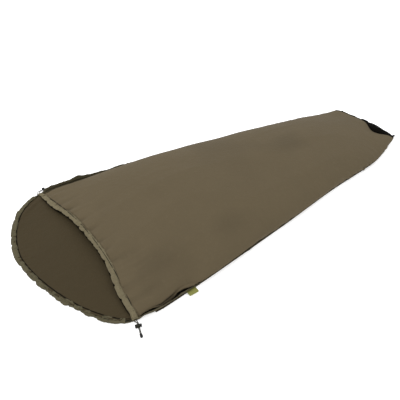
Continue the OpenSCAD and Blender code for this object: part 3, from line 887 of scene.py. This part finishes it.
class BIVY_OT_cord_tails(bpy.types.Operator):
    """Make the four braided strands that come out of the channels at the mouth corners"""
    bl_idname = "bivy.cord_tails"
    bl_label = "Cord tails"

    def execute(self, context):
        turn = np.arange(14) / 14 * math.tau
        for name in ROUTES:
            path = strand_route(name)
            ring = np.stack([np.cos(turn), np.sin(turn)], -1) * CORD_D / 2
            piece = tube(name + "_cord", path, np.broadcast_to(ring, (len(path), *ring.shape)), "cord")
            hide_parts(name)
            if name.startswith("hood"):
                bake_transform(piece)
            else:
                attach(piece, "sack")
        return {"FINISHED"}


# ---- Floor and hood -----------------------------------------------------------------------------

# How far the hood's floor runs into the sack
FRONT_OVERLAP = 0.110


def outline_area():
    return 2 * area_under(OUTLINE_D, OUTLINE_X)


def hood_floor_ends(cols):
    """Where the lines of the hood's floor start on its rim, and how far across they end."""
    rim_x, rim_d = hood_point(np.linspace(1, 0, cols), HOOD_BAND * 0.55)
    return rim_x, rim_d, np.linspace(-1, 1, cols) * (half_width(FRONT_OVERLAP) - 0.004)


def hood_floor_grid(share):
    """The hood's floor cloth at shares of the way from its rim to a line behind the mouth corners."""
    t = np.linspace(1, 0, share.shape[1])
    rim_x, rim_d, back_x = hood_floor_ends(share.shape[1])
    x = rim_x + (back_x - rim_x) * share
    d = rim_d + (FRONT_OVERLAP - rim_d) * share
    gap = share * np.hypot(back_x - rim_x, FRONT_OVERLAP - rim_d)
    gathers = 0.0030 * np.exp(-gap / 0.028) * (1 + ridged(t * 52, gap * 16, 57))
    return x, d, FLOOR_T - 0.0004 + floor_relief(x, d) * 0.6 + gathers


def corner_hem(name, side):
    """The rim's cloth from the end of a hood channel round the mouth corner to the side seam."""
    rows, cols = 60, 14
    first = hood_turn(CHANNEL_STOP + 0.004, side)
    s = np.linspace(0, 1, rows)[:, None]
    lane = np.linspace(0, 1, cols)[None, :]
    turn = first - s * first if side > 0 else first + s * (1 - first)
    x, d = hood_point(turn, HOOD_BAND * lane)
    past = np.clip((s - 0.45) / 0.55, 0, 1)
    d = d * (1 - s ** 3) + 0.030 * past ** 2
    x = side * np.where(d > 0, half_width(d) - HOOD_BAND * lane, side * x)
    z = 0.0016 + 0.0004 * ridged(s * 4, lane * 2.5, 171) + 0.0030 * smooth((0.25 - lane) / 0.25)
    grid = laid(x, d, z)
    piece = cloth_sheet("corner_hem_" + name, grid if side < 0 else grid[:, ::-1], "hood", 0.0006)
    dress(piece, "channel_fabric", flat=(length_of(grid[:, cols // 2]), HOOD_BAND), held="laid")
    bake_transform(piece)


class BIVY_OT_floor(bpy.types.Operator):
    """Make the floor cloth under the sleeper and the hood cloth in front of the mouth"""
    bl_idname = "bivy.floor"
    bl_label = "Floor and hood"

    def execute(self, context):
        x, d, z = hood_floor_grid(np.linspace(0, 1, 170)[:, None] ** 1.3 * np.ones((1, 260)))
        hood = cloth_sheet("hood_cloth", laid(x, d, z), "floor", 0.0006)
        wide, deep = 2 * MOUTH_HALF, HOOD_D + FRONT_OVERLAP
        dress(hood, "floor_fabric", None, "hood_panel", flat=(wide, deep), held="laid",
              area=0.78 * wide * deep)
        self.rim_seam()
        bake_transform(hood)
        for name, side in SIDES:
            corner_hem(name, side)
        d = np.linspace(FRONT_OVERLAP - 0.02, BODY_L - 0.001, 220)[:, None]
        x = np.linspace(-1, 1, 90)[None, :] * (half_width(d) - 0.002)
        z = 0.0009 + 0.0005 * (noise(x * 6, d * 6, 61) + 1) * 0.5
        base = cloth_sheet("floor_cloth", laid(x, d, z), "floor", 0.0007)
        dress(base, "floor_fabric", "sack", "base_panel", flat=(2 * float(OUTLINE_X.max()), BODY_L),
              held="laid", area=outline_area())
        return {"FINISHED"}

    def rim_seam(self):
        """A near-black strip of painted shade where the hood's channel meets its floor cloth."""
        cols, reach = 420, 0.0132
        rim_x, rim_d, back_x = hood_floor_ends(cols)
        share = reach * np.linspace(0.65, 1, 4)[:, None]
        share = share / np.hypot(back_x - rim_x, FRONT_OVERLAP - rim_d)
        x, d, z = hood_floor_grid(share)
        kept = slice(14, cols - 14)
        seam = cloth_sheet("rim_seam", laid(x, d, z + 0.0005)[:, kept], "lining", 0.0004)
        run = length_of(laid(x, d, z)[2, kept])
        dress(seam, "channel_fabric", "hood", flat=(run, 0.010), held="laid", area=0.0046 * run)


# ---- Top cloth and foot -------------------------------------------------------------------------

class BIVY_OT_top(bpy.types.Operator):
    """Make the breathable top cloth"""
    bl_idname = "bivy.top"
    bl_label = "Top cloth"

    def execute(self, context):
        grid, valley = top_grid()
        piece = cloth_sheet("top_cloth", grid, "top", offset=-1.0)
        # The painted crease shade, stored on the mesh for the top cloth's colour
        depth = piece.data.attributes.new("valley", "FLOAT", "POINT")
        depth.data.foreach_set("value", valley.astype(np.float32).ravel())
        dress(piece, "top_fabric", "sack", "top_panel", flat=(2 * float(OUTLINE_X.max()) * 1.05, BODY_L),
              held="gathered", area=outline_area() * 1.04, rests_on=["floor_cloth"])
        return {"FINISHED"}


class BIVY_OT_foot(bpy.types.Operator):
    """Make the black foot panel and the piping along its top seam"""
    bl_idname = "bivy.foot"
    bl_label = "Foot panel"

    def execute(self, context):
        edge = top_grid()[0][-1]
        cols, rows = len(edge), 60
        angle = np.linspace(0, math.pi, cols)
        across = -np.cos(angle)
        hem = np.stack([across * (FOOT_HALF - SEAM_STITCH), np.full(cols, MOUTH_Y + BODY_L - 0.006),
                        np.full(cols, SEAM_Z)], -1)
        s = np.linspace(0, 1, rows)[:, None]
        grid = edge * (1 - s[..., None]) + hem * s[..., None]
        arch = np.sin(angle) ** 0.6
        crest = np.sin(s ** 0.6 * math.pi) * arch
        crumple = 0.005 * layered(across * 4.5, s * 2.5, 71, 3)
        crumple = crumple + 0.006 * (creased(across * 5, s * 3, 75) - 0.2)
        grid[..., 2] += (0.004 + 0.034 * foot_dip(across)) * crest + crumple * crest
        grid[..., 1] += (0.010 + crumple * 0.6) * np.sin(s * math.pi) * arch
        grid[..., 2] = np.maximum(grid[..., 2], SEAM_Z)
        piece = cloth_sheet("foot_cloth", grid, "foot", 0.0007)
        wide, tall = 2 * FOOT_HALF * 1.2, 0.13
        dress(piece, "foot_fabric", "sack", "foot_panel", flat=(wide, tall), held="hung",
              area=0.85 * wide * tall)
        knot = 1 + 1.9 * bump_at(across, -0.76, 0.02) + 1.6 * bump_at(across, 0.92, 0.03)
        turn = np.arange(10) / 10 * math.tau
        ring = 0.0017 * np.stack([np.cos(turn), np.sin(turn)], -1)[None] * knot[:, None, None]
        piping = tube("foot_piping", edge + [0, 0.0005, 0.0012], ring, "foot")
        dress(piping, "foot_fabric", "sack")
        return {"FINISHED"}


# ---- Folded seams -------------------------------------------------------------------------------

# Cross-section of a folded seam that stands up at its outer edge: place across, and rise
BORDER_ACROSS = np.array([-0.3, 0, 0.25, 0.45, 0.6, 0.72, 0.82, 0.9, 0.96, 1.0, 0.985, 0.93, 0.85,
                          0.74, 0.62])
BORDER_RISE = np.array([0, 0, 0.02, 0.06, 0.2, 0.42, 0.65, 0.83, 0.95, 1.05, 1.14, 1.06, 0.86, 0.6, 0.32])


def border_strip(line, outward, width, curl, seed, narrow=0.0):
    """A folded band of cloth along a line, standing up by curl at its outer edge, narrowed inside."""
    s = distances(line)
    wave = 1 + 0.32 * noise(s * 9, seed, seed) + 0.22 * noise(s * 24, seed, seed + 1)
    lift = curl * np.clip(wave, 0.25, 1.7)
    reach = width * (1 + 0.06 * noise(s * 14, seed, seed + 2) + 0.04 * noise(s * 45, seed, seed + 4))
    kept = 1 - 0.5 * np.broadcast_to(narrow, s.shape)[:, None]
    across = 1 - (1 - BORDER_ACROSS[None, :]) * kept
    grid = line[:, None] + outward[:, None] * (across * reach[:, None])[..., None]
    crinkle = 0.0009 * ridged(s[:, None] * 55, BORDER_ACROSS[None, :] * 3, seed + 3)
    grid[..., 2] += BORDER_RISE[None, :] * lift[:, None] + crinkle * (0.4 + BORDER_RISE[None, :])
    return grid


class BIVY_OT_seams(bpy.types.Operator):
    """Make the folded side and foot seams with their stitching"""
    bl_idname = "bivy.seams"
    bl_label = "Seams"

    def execute(self, context):
        self.sides()
        self.foot()
        self.tapes()
        return {"FINISHED"}

    def sides(self):
        d = np.linspace(0.002, BODY_L - SEAM_W, 900)
        past_corner = smooth((d - 0.020) / 0.035)
        lips = {"right": 0.0035 + 0.0085 * past_corner * smooth((0.30 - d) / 0.10),
                "left": 0.0050 + 0.0170 * past_corner * smooth((0.75 - d) / 0.40)}
        for name, curl in lips.items():
            side = 1 if name == "right" else -1
            x = side * (half_width(d) - SEAM_W * 0.95)
            line = laid(x, d, SEAM_Z - 0.0002)
            outward = np.tile([float(side), 0.0, 0.0], (len(d), 1))
            grid = border_strip(line, outward, SEAM_W * 0.95, curl, 80 + side, tuck(side, d))
            piece = cloth_sheet("side_border_" + name, grid if side > 0 else grid[:, ::-1], "border",
                                0.0008)
            dress(piece, "border_fabric", "sack", "side_seam_" + name, flat=(FOLDED_W, BODY_L),
                  held="folded")
            # A near-black strip along the side seam, in the gap under the top cloth's bulge: painted shade
            shut = 0.008 + (0.012 + 0.016 * tuck(side, d)) * np.linspace(0, 1, 6)[:, None]
            gap_shade = laid(side * (half_width(d) - shut).T, d[:, None], SEAM_Z + 0.0004)
            lining = cloth_sheet("seam_lining_" + name, gap_shade if side < 0 else gap_shade[:, ::-1],
                                 "lining", 0.0004)
            dress(lining, "border_fabric", "sack", flat=(0.0145, BODY_L), held="laid")
            for row, place in (("outer", 7), ("inner", 4)):
                stitch_row(f"side_stitches_{row}_{name}", grid[:, place] + [0, 0, 0.0004], "sack")

    def foot(self):
        cols = 240
        x = np.linspace(-1, 1, cols) * (FOOT_HALF - 0.002)
        rounded = 0.012 * smooth((np.abs(x) - FOOT_HALF + 0.03) / 0.03)
        line = np.stack([x, MOUTH_Y + BODY_L - SEAM_W * 0.95 - rounded, np.full(cols, SEAM_Z)], -1)
        grid = border_strip(line, np.tile([0.0, 1.0, 0.0], (cols, 1)), SEAM_W * 0.93, 0.006, 90)
        piece = cloth_sheet("foot_border", grid[:, ::-1], "foot", 0.0008)
        dress(piece, "foot_fabric", "sack", "foot_seam", flat=(2 * FOOT_HALF, FOLDED_W), held="folded")
        stitch_row("foot_stitches", grid[:, 7] + [0, 0, 0.0004], "sack")

    def tapes(self):
        """Heat-sealed tape over the seams inside the sack."""
        inner, outer = SEAM_W + TAPE_W, SEAM_W + 0.0004
        d = np.linspace(0.031, BODY_L - SEAM_W - TAPE_W, 500)[:, None]
        lane = np.linspace(0, 1, 7)[None, :]
        for name, side in SIDES:
            x = side * (half_width(d) - outer - (inner - outer) * lane)
            z = 0.0021 + 0.0003 * noise(d * 40, lane * 2, 95 + side)
            self.tape("seam_tape_" + name, laid(x, d, z)[:, ::-1] if side > 0 else laid(x, d, z))
        x = np.linspace(-1, 1, 200)[:, None] * (half_width(BODY_L - SEAM_W) - inner + 0.018)
        y = MOUTH_Y + BODY_L - SEAM_W - TAPE_W * (1 - lane)
        z = 0.0021 + 0.0003 * noise(x * 40, lane * 2, 97)
        self.tape("seam_tape_foot", np.stack(np.broadcast_arrays(x, y, z), -1))

    def tape(self, node, grid):
        piece = cloth_sheet(node + "_film", grid, "tape", 0.0003)
        dress(piece, "seam_tape", "sack", node, flat=(TAPE_W, length_of(grid[:, 3])), held="laid")


# ---- Drawcord channels --------------------------------------------------------------------------

def gathered_ring(path, width, height, seed, gather, tall=1.0, pinches=()):
    """The changing cross-section of a drawcord channel scrunched along its cord."""
    sides = 32
    turn = np.arange(sides) / sides * math.tau
    s = distances(path)[:, None]
    total = s[-1, 0]
    ends = smooth(s / 0.02) * smooth((total - s) / 0.02)
    nip = sum((bump_at(s, place * total, 0.006) for place in pinches), np.zeros_like(s))
    slant = 0.35 * np.cos(turn)[None, :]
    bend = slant + 0.9 * noise(s * 7, 2.0, seed + 5)
    folds = ridged(s * 30 + bend, np.cos(turn)[None, :] + seed, seed + 1)
    folds = -folds - 0.35 * ridged(s * 80 - slant, np.sin(turn)[None, :] * 1.3, seed + 2)
    amount = gather * np.clip(0.9 + 0.9 * noise(s * 6, seed, seed + 6), 0.2, 1.8) * (0.25 + 0.75 * ends)
    flat_edge = 0.5 + 0.5 * np.cos(turn)[None, :]
    a = width / 2 * (1 + 0.07 * noise(s * 16, seed, seed + 4)) * (1 - 0.30 * nip)
    b = height / 2 * tall * (0.85 + 0.22 * noise(s * 12, seed, seed + 3)) * (1 - 0.35 * nip)
    across = np.cos(turn) * (a + amount * 0.5 * folds)
    up = np.sin(turn) * (b * (0.6 + 0.4 * flat_edge) + np.minimum(amount, 0.0042) * folds)
    up = np.maximum(up, -height / 2 * tall)
    return np.stack([across, up], -1)


def hood_path(inset, first, last, count):
    x, d = hood_point(np.linspace(first, last, count), inset)
    return laid(x, d, 0.0)


class BIVY_OT_channels(bpy.types.Operator):
    """Make the gathered channels round the hood and along the mouth"""
    bl_idname = "bivy.channels"
    bl_label = "Drawcord channels"

    def execute(self, context):
        _, cloth, _ = settings()
        self.hood(cloth)
        self.mouth(cloth)
        for name in ("hood", "mouth"):
            for part, finish in (("_drawcord", "cord"), ("_eyelets", "eyelet")):
                refinish(name + part, finish)
        return {"FINISHED"}

    def hood(self, cloth):
        first, last = hood_turn(CHANNEL_STOP, 1), hood_turn(CHANNEL_STOP, -1)
        path = hood_path(HOOD_BAND / 2, first, last, 900)
        t = np.linspace(first, last, 900)[:, None]
        upright = smooth((t - 0.62) / 0.12) * smooth((0.985 - t) / 0.03)
        tall = 1.0 + 0.9 * upright
        path[:, 2] = CHANNEL_H / 2 * tall[:, 0] + 0.0006
        gather = cloth.gather * (1.0 + 0.5 * smooth((0.55 - t) / 0.2))
        ring = gathered_ring(path, HOOD_BAND, CHANNEL_H, 101, gather, tall,
                             (0.10, 0.17, 0.26, 0.33, 0.41, 0.52, 0.66, 0.71, 0.83))
        piece = thicken(tube("hood_tunnel", path, ring, "hood", capped=False), cloth.thickness)
        dress(piece, "channel_fabric", "hood", "hood_channel", flat=(length_of(path) * 1.25, 0.052),
              held="gathered")
        inner = hood_path(HOOD_BAND * 0.90, first + 0.01, last - 0.01, 620)
        inner[:, 2] = 0.0058
        stitch_row("hood_stitches", inner, "hood")

    def mouth(self, cloth):
        reach = MOUTH_HALF - MOUTH_STOP
        x = np.linspace(reach, -reach, 900)
        d = mouth_edge(x) + MOUTH_BAND / 2
        path = laid(x, d, top_height(x, d) - 0.001)
        ring = gathered_ring(path, MOUTH_BAND, CHANNEL_H, 131, cloth.gather * 0.7, 1.0,
                             (0.08, 0.16, 0.22, 0.31, 0.39, 0.44, 0.55, 0.60, 0.71, 0.78, 0.86, 0.93))
        piece = thicken(tube("mouth_tunnel", path, ring, "mouth", capped=False), cloth.thickness)
        dress(piece, "channel_fabric", "sack", "mouth_channel", flat=(length_of(path) * 1.2, 0.056),
              held="gathered")
        # A near-black strip hanging under the mouth channel's front edge: painted shade under the band
        inward = np.array([0, 0.0002, 0.0006, 0.0014, 0.0030, 0.0050])[None, :]
        drop = np.array([0, 0.0030, 0.0060, 0.0084, 0.0094, 0.0096])[None, :]
        front = (mouth_edge(x) - 0.0016)[:, None] + inward
        height = (top_height(x, mouth_edge(x) + MOUTH_BAND / 2) - 0.0012)[:, None]
        mouth_shade = cloth_sheet("mouth_facing", laid(x[:, None], front, height - drop), "lining", 0.0005)
        dress(mouth_shade, "channel_fabric", "sack", flat=(length_of(path), 0.0118), held="folded")
        d = mouth_edge(x) + MOUTH_BAND * 0.90
        line = laid(x, d, top_height(x, d) + 0.0024)
        stitch_row("mouth_stitches", line, "sack")


# ---- Hardware and trim --------------------------------------------------------------------------

class BIVY_OT_locks(bpy.types.Operator):
    """Give the cord locks, springs and cord ends their finishes"""
    bl_idname = "bivy.locks"
    bl_label = "Cord locks"

    def execute(self, context):
        for part, finish in (("lock_barrel", "lock"), ("lock_plunger", "button"),
                             ("lock_spring", "spring"), ("cord_end", "button")):
            for side, _ in SIDES:
                refinish(f"{part}_{side}", finish)
        return {"FINISHED"}


def strap(name, profile, start, along, width, material, thickness):
    """A band of cloth whose edge follows a profile, width wide along a direction."""
    profile = smooth_path(profile, 0.0008)
    steps = np.linspace(0, 1, 16)
    grid = profile[:, None] + np.asarray(start) + np.asarray(along) * (steps * width)[None, :, None]
    return cloth_sheet(name, grid, material, thickness, offset=0.0)


class BIVY_OT_trim(bpy.types.Operator):
    """Make the corner patches, the labels and the foot loops"""
    bl_idname = "bivy.trim"
    bl_label = "Trim"

    def execute(self, context):
        for name, side in SIDES:
            self.patch(name, side)
            self.loop(name, side)
        self.side_label()
        self.care_label()
        return {"FINISHED"}

    def patch(self, name, side):
        """A doubled patch of cloth at a mouth corner, sewn round its edge."""
        u, v = np.linspace(0, 1, 34)[None, :], np.linspace(0, 1, 34)[:, None]
        x = side * (MOUTH_HALF - 0.037 + u * 0.0365)
        front = 0.0100 * (1 - u) - 0.0005
        d = front + v * (MOUTH_BAND * (1 - 0.12 * u) + 0.002)
        crown = np.sin(math.pi * np.clip(0.10 + 0.85 * v, 0, 1)) ** 0.6
        z = SEAM_Z + 0.0042 * (1 - v) + (0.0102 - 0.0050 * u) * crown + 0.0002
        z = z + 0.0012 * ridged(v * 5 + 0.8 * u, u * 3, 151 + side) * smooth(u / 0.1)
        grid = laid(x, d, z)
        piece = cloth_sheet("corner_cloth_" + name, grid if side > 0 else grid[:, ::-1], "mouth", 0.0005)
        dress(piece, "border_fabric", "sack", "corner_patch_" + name, flat=(0.038, MOUTH_BAND * 1.3),
              held="draped")
        box = np.vstack([grid[4:-4, 4], grid[-5, 4:-4], grid[4:-4, -5][::-1], grid[4, 4:-4][::-1]])
        stitch_row("corner_stitches_" + name, box + [0, 0, 0.0003], "sack", pitch=0.0024)

    def loop(self, name, side):
        """A webbing loop at a foot corner, open along the foot."""
        low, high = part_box("foot_loop_" + name)
        y0, y1, z0, z1 = low.y + 0.001, high.y - 0.0008, low.z + 0.0008, high.z - 0.0008
        mid = (z0 + z1) / 2
        side_view = [(0, y0, mid + 0.0012), (0, y0 + 0.012, z1 - 0.001), (0, y1 - 0.006, z1),
                     (0, y1, mid + 0.001), (0, y1 - 0.005, z0), (0, y0 + 0.010, z0 + 0.0006),
                     (0, y0, mid - 0.0012)]
        piece = strap("foot_webbing_" + name, side_view, (low.x, 0, 0), (1, 0, 0), high.x - low.x,
                      "webbing", 0.0013)
        dress(piece, "webbing", "sack", "foot_loop_" + name, flat=(high.x - low.x, 0.058), held="folded")

    def side_label(self):
        """A blank folded label that stands out of the right side seam."""
        low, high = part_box("side_label")
        out = high.x + 0.010
        z = low.z
        profile = [(low.x, 0, z + 0.0004), (low.x + 0.010, 0, z + 0.0030), (out - 0.008, 0, z + 0.0052),
                   (out - 0.001, 0, z + 0.0040), (out, 0, z + 0.0026), (out - 0.001, 0, z + 0.0014),
                   (out - 0.008, 0, z + 0.0020), (low.x + 0.010, 0, z + 0.0012), (low.x, 0, z - 0.0004)]
        piece = strap("side_label_tape", profile, (0, low.y, 0), (0, 1, 0), high.y - low.y, "label", 0.0005)
        dress(piece, "label_tape", "sack", "side_label", flat=(2 * (out - low.x), high.y - low.y),
              held="folded")

    def care_label(self):
        """A blank label sewn to the floor inside the mouth, one edge curling up."""
        low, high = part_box("care_label")
        u, v = np.linspace(0, 1, 24)[None, :], np.linspace(0, 1, 40)[:, None]
        x, y = low.x + u * (high.x - low.x), low.y + v * (high.y - low.y)
        z = low.z + 0.0007 + 0.0014 * u ** 2 + 0.0004 * noise(u * 3, v * 4, 161)
        piece = cloth_sheet("care_label_tape", np.stack(np.broadcast_arrays(x, y, z), -1), "care", 0.0003)
        dress(piece, "care_tape", "sack", "care_label", flat=(high.x - low.x, high.y - low.y), held="laid")


# ---- Panel and registration ---------------------------------------------------------------------

OPERATORS = [BIVY_OT_stage, BIVY_OT_cord_tails, BIVY_OT_floor, BIVY_OT_top, BIVY_OT_foot, BIVY_OT_seams,
             BIVY_OT_channels, BIVY_OT_locks, BIVY_OT_trim]


class BIVY_PT_panel(bpy.types.Panel):
    """Lists the steps that build the bivy sack"""
    bl_label = "Bivy Sack"
    bl_idname = "BIVY_PT_panel"
    bl_space_type = "VIEW_3D"
    bl_region_type = "UI"
    bl_category = "Bivy"

    def draw(self, context):
        for operator in OPERATORS:
            self.layout.operator(operator.bl_idname)
        for group in settings():
            for prop in group.bl_rna.properties:
                if not prop.is_readonly and prop.identifier != "name":
                    self.layout.prop(group, prop.identifier)


CLASSES = [BivyColours, BivyCloth, BivyStage, *OPERATORS, BIVY_PT_panel]


def register():
    for item in CLASSES:
        bpy.utils.register_class(item)
    bpy.types.Scene.bivy_colours = bpy.props.PointerProperty(type=BivyColours)
    bpy.types.Scene.bivy_cloth = bpy.props.PointerProperty(type=BivyCloth)
    bpy.types.Scene.bivy_stage = bpy.props.PointerProperty(type=BivyStage)


def unregister():
    del bpy.types.Scene.bivy_stage
    del bpy.types.Scene.bivy_cloth
    del bpy.types.Scene.bivy_colours
    for item in reversed(CLASSES):
        bpy.utils.unregister_class(item)


def main():
    register()
    for operator in OPERATORS:
        area, name = operator.bl_idname.split(".")
        getattr(getattr(bpy.ops, area), name)()


if __name__ == "__main__":
    main()
